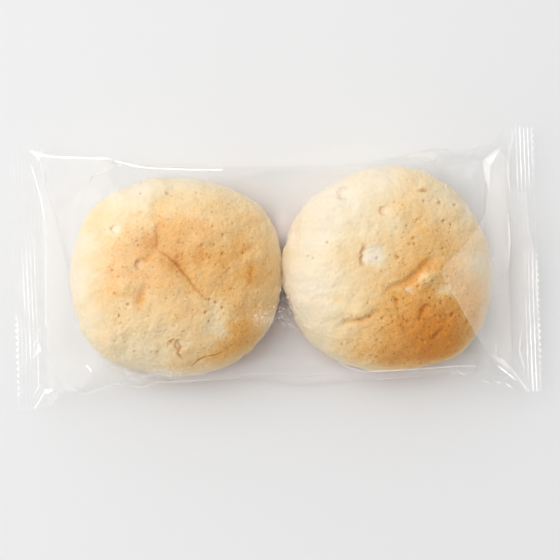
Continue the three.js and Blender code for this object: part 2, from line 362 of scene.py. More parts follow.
def burst_crust(roll, middle, lobes, dents, blisters, creases, browning, seed):
    """Presses bubbles and creases into a roll, and stores its browning, its scorching with painted shade, and
    its flour with painted highlight.
    """
    points = get_points(roll)
    normals = get_normals(roll)
    seen = to_photo(points)
    pixels = seen + np.stack([
        WANDER * wavy_noise(seen, WANDER_LENGTH, first) + RAGGED * wavy_noise(seen, RAGGED_LENGTH, first + 1)
        for first in (seed, seed + 2)
    ], axis=1)
    nearly = (pixels + 3 * seen) / 4  # small marks wander less
    top = smooth_step((points[:, 2] - MARKS_FROM) / MARKS_FADE)
    depth = np.zeros(len(points))
    for across, down, radius, rise in lobes:
        away = np.hypot(pixels[:, 0] - across, pixels[:, 1] - down) * PIXEL_SIZE
        depth -= rise * falloff(away, radius)
    scorch_and_shade = np.zeros(len(points))
    flour = np.zeros(len(points))
    creased = np.zeros(len(points))
    for across, down, radius, deep in dents:
        away = np.hypot(nearly[:, 0] - across, nearly[:, 1] - down) * PIXEL_SIZE
        shape = falloff(away, radius)
        depth += DENT_DEPTH * deep * shape
        # Small dents: browned and painted darker on the upper-left wall, which faces away from the window,
        # and painted pale on the lower-right wall, which faces it
        if radius < SCORCHED_AND_SHADED_DENT:
            aside = radius * PIT_LEAN / PIXEL_SIZE
            shaded = np.hypot(nearly[:, 0] - across + aside, nearly[:, 1] - down + aside) * PIXEL_SIZE
            lit = np.hypot(nearly[:, 0] - across - 2 * aside, nearly[:, 1] - down - 2 * aside) * PIXEL_SIZE
            darkness = min(MOST_SCORCH_AND_SHADE, DENT_SCORCH_AND_SHADE + DEEP_SCORCH_AND_SHADE * deep)
            scorch_and_shade = np.maximum(scorch_and_shade, darkness * falloff(shaded, 0.8 * radius))
            flour = np.maximum(flour, DENT_PAINTED_HIGHLIGHT * falloff(lit, 0.7 * radius))
    for across, down, radius, deep, floor in blisters:
        aside = (pixels if radius > 3 else nearly) - (across, down)
        away = np.linalg.norm(aside, axis=1) + 0.01
        leaning = aside[:, 0] / away
        away *= PIXEL_SIZE / (1 + BLISTER_SLOPE * np.maximum(leaning, 0))
        depth += deep * (1 - smooth_step((away / radius - 0.6) / 0.4)) * (0.65 - 0.35 * leaning)
        flour = np.maximum(flour, floor * falloff(away, 0.95 * radius))
        # The lip on the left, the wall that faces away from the window, is browned and painted darker as
        # shade
        lip = np.exp(-((away / radius - 0.75) / 0.2) ** 2) * smooth_step(0.4 - leaning)
        scorch_and_shade = np.maximum(scorch_and_shade, LIP_SCORCH_AND_SHADE * deep * lip)
    for line, half_width, deep in creases:
        away, along = line_distance(nearly, np.array(line, float))
        shape = falloff(away * PIXEL_SIZE, half_width) * np.sin(math.pi * (0.12 + 0.76 * along))
        depth += deep * shape
        creased = np.maximum(creased, np.sign(deep) * shape)
        # Narrow creases and cracks are browned and painted darker inside, as shade
        if half_width < SCORCHED_AND_SHADED_DENT:
            scorch_and_shade = np.maximum(scorch_and_shade, CREASE_SCORCH_AND_SHADE * shape)
    pored = np.zeros(len(points))
    draw = np.random.default_rng(seed)
    for _ in range(PORES):
        reach = PORE_REACH * math.sqrt(draw.random())
        heading = draw.uniform(0, 2 * math.pi)
        pore = middle + reach * np.array([math.cos(heading), math.sin(heading)])
        radius = draw.uniform(*PORE_SIZES)
        away = np.hypot(points[:, 0] - pore[0], points[:, 1] - pore[1])
        shape = falloff(away, radius)
        depth += draw.uniform(*PORE_DEPTHS) * shape
        pored = np.maximum(pored, shape)
    pebbles = wavy_noise(points, 2.6, seed + 4) * wavy_noise(points, 3.4, seed + 5)
    patchy = smooth_step(0.5 + 0.5 * wavy_noise(points, 22, seed + 6))
    depth += 0.05 * pebbles * patchy
    brown = np.full(len(points), BROWN_ALL_OVER)
    for across, down, radius, change in browning:
        away = np.hypot(pixels[:, 0] - across, pixels[:, 1] - down)
        brown += change * np.exp(-(away / radius) ** 2 * 2)
    brown += CREASE_SHADE * creased
    # Pores in browned places are browned and painted darker, as shade
    scorch_and_shade = np.maximum(scorch_and_shade, PORE_SCORCH_AND_SHADE * pored * smooth_step(brown / 0.5))
    baked = smooth_step((points[:, 2] - PALE_BELOW) / (BROWN_ABOVE - PALE_BELOW))
    heading = (points[:, :2] - middle) / np.linalg.norm(points[:, :2] - middle, axis=1)[:, None]
    # The foot is browned on the side where the shade falls, towards the other roll and the near side, as
    # painted shade
    shaded_heading = FOOT_SHADE_HEADING * (-np.sign(middle[0]), 1)
    foot = smooth_step((FOOT_BELOW - points[:, 2]) / FOOT_FADE) * smooth_step(0.4 + 0.7 * heading @ shaded_heading)
    brown *= SIDE_BROWN + (1 - SIDE_BROWN) * baked
    # Stored for the material: browning; scorching with painted shade; flour with the painted highlight on
    # dents' lit walls
    set_attribute(roll, "brown", np.clip(brown + FOOT_BROWN * foot, 0, 1))
    set_attribute(roll, "scorch_and_shade", scorch_and_shade * top)
    set_attribute(roll, "flour", flour * top)
    points -= normals * (depth * top)[:, None]
    points[:, 2] = np.maximum(points[:, 2], ROLL_LIFT)
    set_points(roll, points)


# Swells left by the rising batter, from coarse to fine: name, size and height in millimetres
LUMPS = [("lumps", 26, 1.6), ("dimples", 9, 1.8), ("pebbles", 4, 0.6), ("grain", 1.3, 0.35)]
for texture_name, blob, height in LUMPS:
    pattern = clouds(texture_name, blob)
    for roll in (left_roll, right_roll):
        apply_modifier(
            roll, "DISPLACE", texture=pattern, texture_coords="LOCAL", mid_level=0.5, strength=height * MM)
burst_crust(
    left_roll, LEFT_SHAPE["middle"], left_lobes, left_dents, left_blisters, left_creases, left_browning,
    seed=3)
burst_crust(
    right_roll, RIGHT_SHAPE["middle"], right_lobes, right_dents, right_blisters, right_creases,
    right_browning, seed=8)

# Baked crust: pale dough where it stayed cool, straw to golden brown where the oven caught it, with a fine
# satin grain. Burst bubbles and creases are browned and painted darker as shade, and small dents' lit walls
# painted pale.
MOTTLE_SIZE = 7
GRAIN_SIZE = 0.9
PIT_SPACING = 2.2
PIT_DEPTH = 0.32
GRAIN_DEPTH = 0.65
crust, crust_output = new_material("rice flour crust, oven baked")
place = add_node(crust, "ShaderNodeTexCoord").outputs["Object"]
brown = stored(crust, "brown")
mottle = add_node(
    crust, "ShaderNodeTexNoise", Vector=place, Scale=1 / (MOTTLE_SIZE * MM), Detail=4.0, Roughness=0.6)
grain = add_node(
    crust, "ShaderNodeTexNoise", Vector=place, Scale=1 / (GRAIN_SIZE * MM), Detail=3.0, Roughness=0.7)
pits = add_node(crust, "ShaderNodeTexVoronoi", Vector=place, Scale=1 / (PIT_SPACING * MM))
hollow = add_node(
    crust, "ShaderNodeMapRange", {"interpolation_type": "SMOOTHSTEP"}, Value=pits.outputs["Distance"],
    From_Min=0.05, From_Max=0.3)
mottled = math_node(crust, "MULTIPLY_ADD", mottle.outputs["Fac"], 0.26, -0.03)
speckled = math_node(crust, "MULTIPLY_ADD", grain.outputs["Fac"], -0.4, 0.2)
# Browner in the small pits of the bump, as painted shade
mottle_and_pit_shade = math_node(crust, "MULTIPLY_ADD", hollow.outputs["Result"], -0.1, mottled)
bake = math_node(crust, "ADD", brown, math_node(crust, "ADD", mottle_and_pit_shade, speckled))
colours = add_node(crust, "ShaderNodeValToRGB", Fac=bake)
CRUST_COLOURS = [(0.0, "EADFCB"), (0.22, "F0DDB7"), (0.45, "F6D298"), (0.68, "F3B866"), (0.92, "E69331")]
SCORCH_AND_SHADE_COLOUR = "C9801E"
FLOUR_AND_HIGHLIGHT_COLOUR = "F9E9CC"
ramp = colours.color_ramp
while len(ramp.elements) < len(CRUST_COLOURS):
    ramp.elements.new(0.5)
for stop, (share, code) in zip(ramp.elements, CRUST_COLOURS):
    stop.position = share
    stop.color = hex_colour(code)
# Scorched pits, creases and blister lips, painted darker still on the walls where shade falls
crust_colour = add_node(
    crust, "ShaderNodeMix", {"data_type": "RGBA"}, _0=stored(crust, "scorch_and_shade"), _6=colours.outputs["Color"],
    _7=hex_colour(SCORCH_AND_SHADE_COLOUR))
# Flour on the blister floors, and the painted highlight on small dents' lit walls, both in the flour colour
flour_and_highlight_share = math_node(crust, "MULTIPLY", stored(crust, "flour"), 0.75)
floury = add_node(
    crust, "ShaderNodeMix", {"data_type": "RGBA"}, _0=flour_and_highlight_share, _6=crust_colour.outputs[2],
    _7=hex_colour(FLOUR_AND_HIGHLIGHT_COLOUR))
coarse = add_node(crust, "ShaderNodeMath", {"operation": "MULTIPLY", "use_clamp": True}, _0=brown, _1=1.4)
pitted = add_node(
    crust, "ShaderNodeBump", Strength=coarse.outputs[0], Distance=PIT_DEPTH * MM,
    Height=hollow.outputs["Result"])
relief = add_node(
    crust, "ShaderNodeBump", Strength=coarse.outputs[0], Distance=GRAIN_DEPTH * MM,
    Height=grain.outputs["Fac"], Normal=pitted.outputs[0])
bread = add_node(
    crust, "ShaderNodeBsdfPrincipled", Base_Color=floury.outputs[2], Roughness=0.55, IOR=1.45,
    Specular_IOR_Level=0.25, Normal=relief.outputs[0])
crust.node_tree.links.new(bread.outputs[0], crust_output.inputs[0])
for roll in (left_roll, right_roll):
    roll.data.materials.append(crust)
    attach(roll, "root")
    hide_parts("roll_pack")

# The film wrap
# One web of clear film a few hundredths of a millimetre thick, wound round the rolls as a tube and welded
# along its underside. Drawn flat at both ends, it lies over the domes and throws its slack into folds at the
# corners.

TUBE_LENGTH = 213  # along the film, from seal to seal
TUBE_HALF_WIDTH = 45.4
TUBE_HEIGHT = 39
TUBE_BELLY = 6
TUBE_CROWN_POWER = 2.35
TUBE_FOOT_POWER = 5
TUBE_MIDDLE = -2.4  # across the pack
SEAL_FROM = 95.5  # where the seals begin, along the pack
SEAL_LENGTH = 109
SEAL_HEIGHT = 9
SHEET_GAP = 0.1  # half the space between the two sheets of a seal
# The seals' waves: height and length in millimetres, and where they start
right_waves = [(1.6, 13, 0.6), (0.8, 6.1, 0)]
left_waves = [(1.0, 17, 0)]
FILM_COLUMNS = 132
FILM_ROWS = 120


def seal_height(across, side):
    """How high a seal stands along its length."""
    level = SEAL_HEIGHT
    for height, length, start in right_waves if side > 0 else left_waves:
        level = level + height * np.sin(across / length + start)
    return level


# The web is laid round a bread-shaped section, from the weld under the rolls up one side and down the other.
turn = np.linspace(-math.pi / 2, 3 * math.pi / 2, 4001)
crown = np.sin(turn) > 0
power = np.where(crown, TUBE_CROWN_POWER, TUBE_FOOT_POWER)
section_y = TUBE_HALF_WIDTH * np.sign(np.cos(turn)) * np.abs(np.cos(turn)) ** (2 / power)
rise = np.abs(np.sin(turn)) ** (2 / power)
section_z = np.where(crown, TUBE_BELLY + (TUBE_HEIGHT - TUBE_BELLY) * rise, TUBE_BELLY * (1 - rise))
section_y[[0, -1]] = 0
walked = np.concatenate([[0], np.cumsum(np.hypot(np.diff(section_y), np.diff(section_z)))])
tube_girth = walked[-1]

bpy.ops.object.select_all(action="DESELECT")
bpy.ops.mesh.primitive_grid_add(x_subdivisions=FILM_COLUMNS, y_subdivisions=FILM_ROWS, size=2 * MM)
film = bpy.context.object
film.name = "film_wrap"
web = get_points(film)
share = (web[:, 0] + 1) / 2
along = web[:, 1]
tube = np.stack([
    along * TUBE_LENGTH / 2,
    TUBE_MIDDLE + np.interp(share * tube_girth, walked, section_y),
    ROLL_LIFT / 2 + np.interp(share * tube_girth, walked, section_z),
], axis=1)
upper = (share > 0.25) & (share < 0.75)
across = SEAL_LENGTH / 2 * np.interp(share, [0, 0.25, 0.75, 1], [0, 1, -1, 0])
level = np.where(along > 0, seal_height(across, 1), seal_height(across, -1))
flat = np.stack([
    np.sign(along) * SEAL_FROM, across, level + np.where(upper, SHEET_GAP, -SHEET_GAP)], axis=1)
drawn = np.where(np.abs(along)[:, None] > 0.999, flat, tube)
set_points(film, tube)
film.data.attributes.new("drawn", "FLOAT_VECTOR", "POINT").data.foreach_set("vector", drawn.ravel())
set_attribute(film, "from_weld", np.minimum(share, 1 - share) * tube_girth)
bpy.ops.object.mode_set(mode="EDIT")
bpy.ops.mesh.select_all(action="SELECT")
bpy.ops.mesh.remove_doubles(threshold=0.05 * MM)
bpy.ops.mesh.normals_make_consistent(inside=False)
bpy.ops.object.mode_set(mode="OBJECT")

# The ends are drawn flat while the film settles on the rolls. Cloth behaves best near a metre in size, so
# this is done at ten times life size, on coarse copies of the rolls.
SETTLING_SCALE = 10
CLOSING_FRAMES = 24
SETTLING_FRAMES = 40
FORMER_HALVINGS = 5
TOUCHING = 0.006  # how near the settling film comes to what it lies on
FILM_STANDOFF = 0.9
FILM_CLEARANCE = 0.15
TAUT_TO = 49  # distance from the middle line where the folds begin
TAUT_EDGE = 10
FLAT_TO = 76  # the underside lies on the table out to here
CLIMB_POWER = 1.6
BRIDGE_SAG = 4  # dip of the film where it crosses from one roll to the other
LOWER_TO = 0.22  # share of the girth, from the weld, that is the lower sheet
LOWER_FADE = 0.1
BRIDGE_AT = 3
BRIDGE_REACH = 16
formers = [baked_roll("former", halvings=FORMER_HALVINGS, **shape) for shape in (LEFT_SHAPE, RIGHT_SHAPE)]
bpy.ops.mesh.primitive_plane_add(size=0.4)
formers.append(bpy.context.object)
for former in formers:
    set_points(former, get_points(former) * SETTLING_SCALE)
    former.modifiers.new("Collision", "COLLISION")
    former.collision.thickness_outer = TOUCHING
    former.collision.cloth_friction = 3
drawn = np.empty(len(film.data.vertices) * 3)
film.data.attributes["drawn"].data.foreach_get("vector", drawn)
drawn = drawn.reshape(-1, 3)
pinned = np.abs(np.abs(drawn[:, 0]) - SEAL_FROM) < 0.001
pinned &= np.abs(np.abs(get_points(film)[:, 0]) - TUBE_LENGTH / 2) < 0.001
set_points(film, get_points(film) * SETTLING_SCALE)
film.vertex_groups.new(name="sealed ends").add(np.flatnonzero(pinned).tolist(), 1.0, "REPLACE")
film.shape_key_add(name="tube")
drawing = film.shape_key_add(name="drawn")
drawing.data.foreach_set("co", (drawn * SETTLING_SCALE * MM).ravel())
cloth = film.modifiers.new("Cloth", "CLOTH")
FILM_CLOTH = {
    "quality": 6, "mass": 0.05, "vertex_group_mass": "sealed ends", "pin_stiffness": 50, "air_damping": 3,
    "tension_stiffness": 80, "compression_stiffness": 80, "shear_stiffness": 60, "bending_stiffness": 3,
    "tension_damping": 10, "compression_damping": 10, "shear_damping": 10, "bending_damping": 2,
}
for name, value in FILM_CLOTH.items():
    setattr(cloth.settings, name, value)
cloth.settings.effector_weights.gravity = 0.15
cloth.collision_settings.distance_min = TOUCHING
cloth.collision_settings.collision_quality = 3
cloth.collision_settings.use_self_collision = False
cloth.point_cache.frame_end = SETTLING_FRAMES
drawing.value = 0
drawing.keyframe_insert("value", frame=1)
drawing.value = 1
drawing.keyframe_insert("value", frame=CLOSING_FRAMES)
for step in range(1, SETTLING_FRAMES + 1):
    bpy.context.scene.frame_set(step)
settled = film.evaluated_get(bpy.context.evaluated_depsgraph_get()).to_mesh()
points = np.empty(len(settled.vertices) * 3)
settled.vertices.foreach_get("co", points)
points = points.reshape(-1, 3) / MM
bpy.context.scene.frame_set(1)
bpy.data.actions.remove(film.data.shape_keys.animation_data.action)
film.modifiers.clear()
film.shape_key_clear()
film.data.attributes.remove(film.data.attributes["drawn"])
set_points(film, points)


def from_weld():
    """How far each point of the film lies from the weld, round the tube."""
    distance = np.empty(len(film.data.vertices))
    film.data.attributes["from_weld"].data.foreach_get("value", distance)
    return distance


# Pulled smooth between the folds of its corners, as stiff film is
points /= SETTLING_SCALE
aside = np.abs(points[:, 1] - TUBE_MIDDLE)
smoothed = smooth_step((TAUT_TO - aside) / TAUT_EDGE)
smoothed *= smooth_step((SEAL_FROM - 1 - np.abs(points[:, 0])) / 4)
smoothed *= from_weld() > tube_girth / 4
taut = film.vertex_groups.new(name="taut")
for index in np.flatnonzero(smoothed > 0):
    taut.add([int(index)], smoothed[index], "REPLACE")
for _ in range(3):
    apply_modifier(film, "SMOOTH", vertex_group="taut", factor=0.5, iterations=20)
    for former in formers[:2]:
        apply_modifier(
            film, "SHRINKWRAP", target=former, wrap_mode="OUTSIDE",
            offset=FILM_STANDOFF * SETTLING_SCALE * MM)
points = get_points(film) / SETTLING_SCALE
# Its slack stands off the rolls along both sides, out to these lines of pixels
far_edge = [
    (31, 149), (50, 154), (80, 154.5), (108, 155), (122, 159.5), (140, 164), (150, 165.5), (180, 167),
    (222, 167.5), (280, 166), (340, 164.5), (370, 162), (400, 156), (430, 150), (460, 146), (500, 141.5),
]
near_edge = [
    (33, 410), (60, 403), (105, 389), (118, 385), (130, 387), (142, 389), (152, 385), (165, 383),
    (200, 382), (240, 380.5), (270, 382), (295, 387.5), (320, 385), (360, 382), (400, 379), (430, 377),
    (456, 375), (475, 380), (492, 384), (508, 387), (525, 391),
]
EDGE_HEIGHT = 7
EDGE_FROM = 28  # distance from the pack's middle line where the film begins to follow its edge
EDGE_SOFTNESS = 14
EDGE_STEP = 3


def from_photo(pixels, height):
    """The places of the pack, in millimetres, that are seen at pixels of the photograph, at one height."""
    scale = PIXEL_SIZE * (CAMERA_HEIGHT - height) / (CAMERA_HEIGHT - PIXEL_SIZE_HEIGHT)
    seen = (np.array(pixels, float) - FRAME_PIXELS / 2) * scale - (PACK_PIXEL - FRAME_PIXELS / 2) * PIXEL_SIZE
    return np.stack([
        seen[:, 0] * math.cos(PACK_TURN) - seen[:, 1] * math.sin(PACK_TURN),
        -seen[:, 0] * math.sin(PACK_TURN) - seen[:, 1] * math.cos(PACK_TURN),
    ], axis=1)


for edge, side in ((far_edge, 1), (near_edge, -1)):
    wanted = from_photo(edge, EDGE_HEIGHT)
    columns = np.arange(-SEAL_FROM, SEAL_FROM, EDGE_STEP)
    reached = [np.max(side * points[np.abs(points[:, 0] - column) < EDGE_STEP, 1]) for column in columns]
    short = np.interp(columns, wanted[:, 0], side * wanted[:, 1]) - reached
    short = np.convolve(np.pad(short, 1, mode="edge"), [0.25, 0.5, 0.25], mode="valid")
    follows = smooth_step((side * points[:, 1] - EDGE_FROM) / EDGE_SOFTNESS)
    follows *= smooth_step((SEAL_FROM - np.abs(points[:, 0])) / 5)
    points[:, 1] += side * np.interp(points[:, 0], columns, short) * follows
# The lower sheet leaves the table at the rolls' feet and climbs to the seals
climb = np.clip((np.abs(points[:, 0]) - FLAT_TO) / (SEAL_FROM - FLAT_TO), 0, 1)
slope = ROLL_LIFT / 2 + (SEAL_HEIGHT - ROLL_LIFT) * climb ** CLIMB_POWER
lower = smooth_step((LOWER_TO - from_weld() / tube_girth) / LOWER_FADE)
lower *= np.abs(points[:, 0]) < SEAL_FROM - 0.5
points[:, 2] -= lower * np.maximum(points[:, 2] - slope, 0)
# and the upper one is let down between the domes
bridge = np.exp(-((points[:, 0] - BRIDGE_AT) / BRIDGE_REACH) ** 2)
points[:, 2] -= BRIDGE_SAG * bridge * smooth_step(points[:, 2] / 20)
points[:, 2] = np.maximum(points[:, 2], ROLL_LIFT / 2)
set_points(film, points)
for former in formers:
    bpy.data.objects.remove(former)
film.vertex_groups.clear()
apply_modifier(film, "SUBSURF", levels=1, render_levels=1)
for roll in (left_roll, right_roll):
    apply_modifier(film, "SHRINKWRAP", target=roll, wrap_mode="OUTSIDE", offset=FILM_CLEARANCE * MM)

# Sharp creases, where the film was pinched: line of pixels, half width in millimetres and how strong a
# painted glint of the window it carries
film_creases = [
    ([(31, 151), (40, 155), (55, 157), (80, 158), (108, 158.5)], 0.45, 0.35),
    ([(108, 158.5), (122, 163), (140, 167), (150, 168.3)], 0.4, 0.3),
    ([(150, 168.3), (180, 169.5), (222, 170)], 0.4, 0.3),
    ([(31, 151), (35, 155), (39, 160)], 0.4, 0.2),
    ([(31, 165), (35, 177), (41, 200), (44.5, 220)], 0.35, 0.2),
    ([(44.5, 220), (46, 250), (46, 290), (46, 325)], 0.4, 0.06),
    ([(40, 328), (36, 335)], 0.35, 0.15),
    ([(39, 336), (34, 346)], 0.35, 0.15),
    ([(41, 350), (33.5, 357)], 0.35, 0.2),
    ([(38, 355), (38.5, 370), (38.5, 385)], 0.35, 0.15),
    ([(40, 384), (33, 397)], 0.35, 0.12),
    ([(43, 385), (36, 399)], 0.3, 0.08),
    ([(45, 391), (40, 400), (35, 408)], 0.4, 0.25),
    ([(87, 366), (89, 367.5), (91, 371)], 0.4, 0.4),
    ([(482, 162), (490, 155), (500, 148)], 0.35, 0.12),
    ([(482, 162), (470, 166), (452, 168), (430, 168)], 0.35, 0.04),
    ([(514, 130), (508, 160)], 0.35, 0.1),
    ([(508, 162), (508, 176), (510, 190)], 0.4, 0.14),
    ([(521, 332), (519.5, 350), (524, 368)], 0.4, 0.16),
    ([(496, 344), (496, 358)], 0.35, 0.15),
    ([(488, 354), (496, 358)], 0.35, 0.1),
    ([(496, 358), (503, 360), (511, 369), (520, 380), (528, 391)], 0.4, 0.16),
    ([(498, 366), (508, 374), (516, 380)], 0.4, 0.3),
    ([(489, 190), (486, 215), (473, 236)], 0.35, 0.05),
    ([(473, 236), (441, 271), (476, 334), (490, 356)], 0.3, 0.04),
    ([(491, 259), (502, 259)], 0.3, 0.12),
    ([(492, 278), (496, 278)], 0.3, 0.12),
    ([(495, 294), (502, 294)], 0.3, 0.12),
    ([(60, 402), (105, 388), (116, 383.5)], 0.35, 0.05),
    ([(116, 383.5), (130, 385.5), (142, 387.5), (152, 384)], 0.35, 0.08),
    ([(100, 360), (115, 368), (130, 373), (145, 376)], 0.35, 0.06),
    ([(152, 382), (200, 380), (240, 378)], 0.35, 0.05),
    ([(295, 386), (320, 383.5), (360, 380.5), (400, 377.5), (455, 373.5)], 0.35, 0.06),
    ([(340, 362), (350, 368), (362, 371.5), (400, 370), (430, 368), (456, 366), (476, 366)], 0.4, 0.12),
    ([(456, 366), (459, 372), (475, 379), (490, 382.5)], 0.35, 0.07),
    ([(495, 382), (506, 383.5), (512, 388)], 0.4, 0.15),
]
# Small patches painted with a glint of the window: outline in pixels and how strong the glint is
film_glint_patches = [
    ([(31, 151), (40, 155), (39, 159.5), (36, 157)], 0.08),
    ([(482, 162), (499, 150), (491, 166), (489, 191), (485, 178)], 0.07),
    ([(494, 357), (503, 360), (512, 370), (508, 369), (498, 361)], 0.08),
    ([(38, 340), (41, 349), (35, 355), (37, 348)], 0.1),
    ([(44, 389), (53, 390), (50, 392), (46, 394)], 0.25),
]
CREASE_HEIGHT = 0.2
UPPER_FROM = 0.21  # share of the girth, from the weld, where the film turns up at the sides
CREASE_BAND = 2.5  # pixels on each side of a crease in which the mesh is made finer


def within(places, outline):
    """Whether each place lies inside an outline."""
    inside = np.zeros(len(places), bool)
    outline = np.array(outline, float)
    for start, end in zip(outline, np.roll(outline, -1, axis=0)):
        spans = (start[1] > places[:, 1]) != (end[1] > places[:, 1])
        reach = start[0] + (places[:, 1] - start[1]) * (end[0] - start[0]) / (end[1] - start[1] + 1e-9)
        inside ^= spans & (places[:, 0] < reach)
    return inside


def crease_marks(places, least_width=0.0):
    """How near each place is to a crease or a glint patch's edge, and how strong the painted glint is there.
    """
    ridge = np.zeros(len(places))
    white = np.zeros(len(places))
    for line, half_width, glint_amount in film_creases:
        away, along = line_distance(places, np.array(line, float))
        width = max(half_width, least_width)
        near = np.clip(1 - away * PIXEL_SIZE / width, 0, 1)
        ridge = np.maximum(ridge, near)
        white = np.maximum(white, glint_amount * near * np.sin(math.pi * (0.15 + 0.7 * along)) ** 0.5)
    for outline, glint_amount in film_glint_patches:
        away = line_distance(places, np.array(outline + outline[:1], float))[0]
        ridge = np.maximum(ridge, away * PIXEL_SIZE < least_width)
        white = np.maximum(white, glint_amount * within(places, outline))
    return ridge, white


def select_faces(piece, chosen):
    """Opens a piece for editing, with just the faces between the chosen points selected."""
    bpy.ops.object.select_all(action="DESELECT")
    piece.select_set(True)
    bpy.context.view_layer.objects.active = piece
    bpy.ops.object.mode_set(mode="EDIT")
    bpy.ops.mesh.select_mode(type="VERT")
    bpy.ops.mesh.select_all(action="DESELECT")
    bpy.ops.object.mode_set(mode="OBJECT")
    piece.data.vertices.foreach_set("select", chosen)
    bpy.ops.object.mode_set(mode="EDIT")
    bpy.ops.mesh.select_mode(type="FACE")


near_crease = crease_marks(to_photo(get_points(film)), CREASE_BAND * PIXEL_SIZE)[0] > 0
near_crease &= from_weld() > UPPER_FROM * tube_girth
select_faces(film, near_crease)
bpy.ops.mesh.subdivide(number_cuts=2, smoothness=0.5)
bpy.ops.object.mode_set(mode="OBJECT")
points = get_points(film)
normals = get_normals(film)
ridge, white = crease_marks(to_photo(points))
on_top = from_weld() > UPPER_FROM * tube_girth
points += normals * (CREASE_HEIGHT * ridge * on_top)[:, None]
points[:, 2] = np.maximum(points[:, 2], ROLL_LIFT / 2)
set_points(film, points)
# The end panel on the right is stretched flat, into the seal, and carries a painted reflection of the pale
# wall
end_panel = [
    (483, 163), (488, 190), (486, 215), (473, 236), (441, 271), (476, 334), (490, 356), (528, 392),
    (541, 391), (541, 300), (537, 262), (530, 230), (526, 192), (511, 190), (508, 160), (500, 150),
]
PANEL_MIDDLE = 275  # pixels down
PANEL_SPREAD = 55
ROLL_EDGE = 486  # pixels across


def painted_panel_glow(places):
    """How strong the end panel's painted glow is at each place, most of all beside the roll, where the roll's
    shade falls.
    """
    level = np.exp(-((places[:, 1] - PANEL_MIDDLE) / PANEL_SPREAD) ** 2)
    beside_roll = 0.95 + 0.05 * level + 1.4 * level * smooth_step((places[:, 0] - ROLL_EDGE) / 10)
    return within(places, end_panel) * beside_roll


# Foggy places get the same painted glow: pixel across and down, spread across and down, and strength,
fog_glow_places = [(263, 319, 9, 8, 0.6), (283, 228, 9, 17, 2.0), (474, 218, 18, 20, 0.8)]
# and so do the slopes that face the bright side of the room, as a painted reflection of it
BRIGHT_SIDE = np.array([-0.8, 0.45, 0.4])
VEIL = 0.6
VEIL_FROM = 0.5
VEIL_FADE = 0.4
places = to_photo(points)
fog_glow = np.zeros(len(points))
for right, down, spread_right, spread_down, amount in fog_glow_places:
    off = ((places - (right, down)) / (spread_right, spread_down)) ** 2
    fog_glow += amount * np.exp(-off.sum(axis=1))
veil = VEIL * smooth_step((normals @ BRIGHT_SIDE - VEIL_FROM) / VEIL_FADE)
# Stored for the material: the painted glow of the end panel, foggy places and bright-facing slopes, and the
# painted glint of creases and patches
set_attribute(film, "panel", (painted_panel_glow(places) + fog_glow + veil) * on_top)
set_attribute(film, "crease", white * on_top)
bpy.ops.object.shade_smooth()

# The way the painted glints face: halfway between straight up and the window
GLINT_FACING = (-0.25, 0.12, 0.96)
PAINTED_GLOW_SHARE = 0.05
PAINTED_GLOW_COLOUR = "F6ECE5"


def lay_over(material, share, below, above):
    """A share of one surface laid over another."""
    return add_node(material, "ShaderNodeMixShader", _0=share, _1=below, _2=above).outputs[0]


def clear(material):
    """A surface that lets all light through."""
    return add_node(material, "ShaderNodeBsdfTransparent", Color=hex_colour("FFFFFF")).outputs[0]


def painted_window_glint(material, code="FFFFFF"):
    """A soft gloss whose facing is fixed towards the window, whatever way the surface lies: a painted glint.
    """
    tilt = add_node(
        material, "ShaderNodeVectorTransform",
        {"vector_type": "NORMAL", "convert_from": "OBJECT", "convert_to": "WORLD"}, Vector=GLINT_FACING)
    return add_node(
        material, "ShaderNodeBsdfGlossy", Color=hex_colour(code), Roughness=0.3, Normal=tilt.outputs[0],
    ).outputs[0]


def slanted(material, power, amount, least):
    """How much a surface mirrors: least where it is seen square on, growing with the slant."""
    slant = add_node(material, "ShaderNodeLayerWeight", Blend=0.5)
    steep = math_node(material, "POWER", slant.outputs["Facing"], power)
    return math_node(material, "MULTIPLY_ADD", steep, amount, least)


def paint_glint_and_glow(material, surface):
    """Lays a painted glint of the window over a film's creases and a faint painted glow over its flat panels.
    """
    creased = lay_over(material, stored(material, "crease"), surface, painted_window_glint(material))
    panel = math_node(material, "MULTIPLY", stored(material, "panel"), PAINTED_GLOW_SHARE)
    return lay_over(material, panel, creased, painted_window_glint(material, PAINTED_GLOW_COLOUR))


# Drawn, gloss-rolled film: quite clear where it is seen square on, mirror-like at a slant. Creases and
# patches carry a painted glint of the window, and the end panel a faint painted glow.
RIPPLE_SIZE = 9
MOST_MIRRORED = 0.4
clear_film, film_output = new_material("clear packing film, drawn and gloss rolled")
place = add_node(clear_film, "ShaderNodeTexCoord").outputs["Object"]
ripple = add_node(
    clear_film, "ShaderNodeTexNoise", Vector=place, Scale=1 / (RIPPLE_SIZE * MM), Detail=2.0)
rippled = add_node(
    clear_film, "ShaderNodeBump", Strength=0.12, Distance=1 * MM, Height=ripple.outputs["Fac"])
shine = add_node(
    clear_film, "ShaderNodeBsdfGlossy", Color=hex_colour("FFFFFF"), Roughness=0.22, Normal=rippled.outputs[0])
mirrored = math_node(clear_film, "MINIMUM", slanted(clear_film, 3.0, 0.95, 0.028), MOST_MIRRORED)
film_mix = lay_over(clear_film, mirrored, clear(clear_film), shine.outputs[0])
glowing = paint_glint_and_glow(clear_film, film_mix)
clear_film.node_tree.links.new(glowing, film_output.inputs[0])
film.data.materials.append(clear_film)
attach(film, "root")
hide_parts("roll_pack")

# The back weld
# The strip under the rolls where the two edges of the web meet. They are of the same clear film, and are
# welded to each other with a hot roller.

WELD_WIDTH = 14
strip = (from_weld() < WELD_WIDTH) & (get_points(film)[:, 1] < TUBE_MIDDLE + 0.3)
select_faces(film, strip)
bpy.ops.mesh.separate(type="SELECTED")
bpy.ops.object.mode_set(mode="OBJECT")
weld = next(piece for piece in bpy.context.selected_objects if piece != film)
weld.name = "back_weld"
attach(weld, "root")
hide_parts("roll_pack")

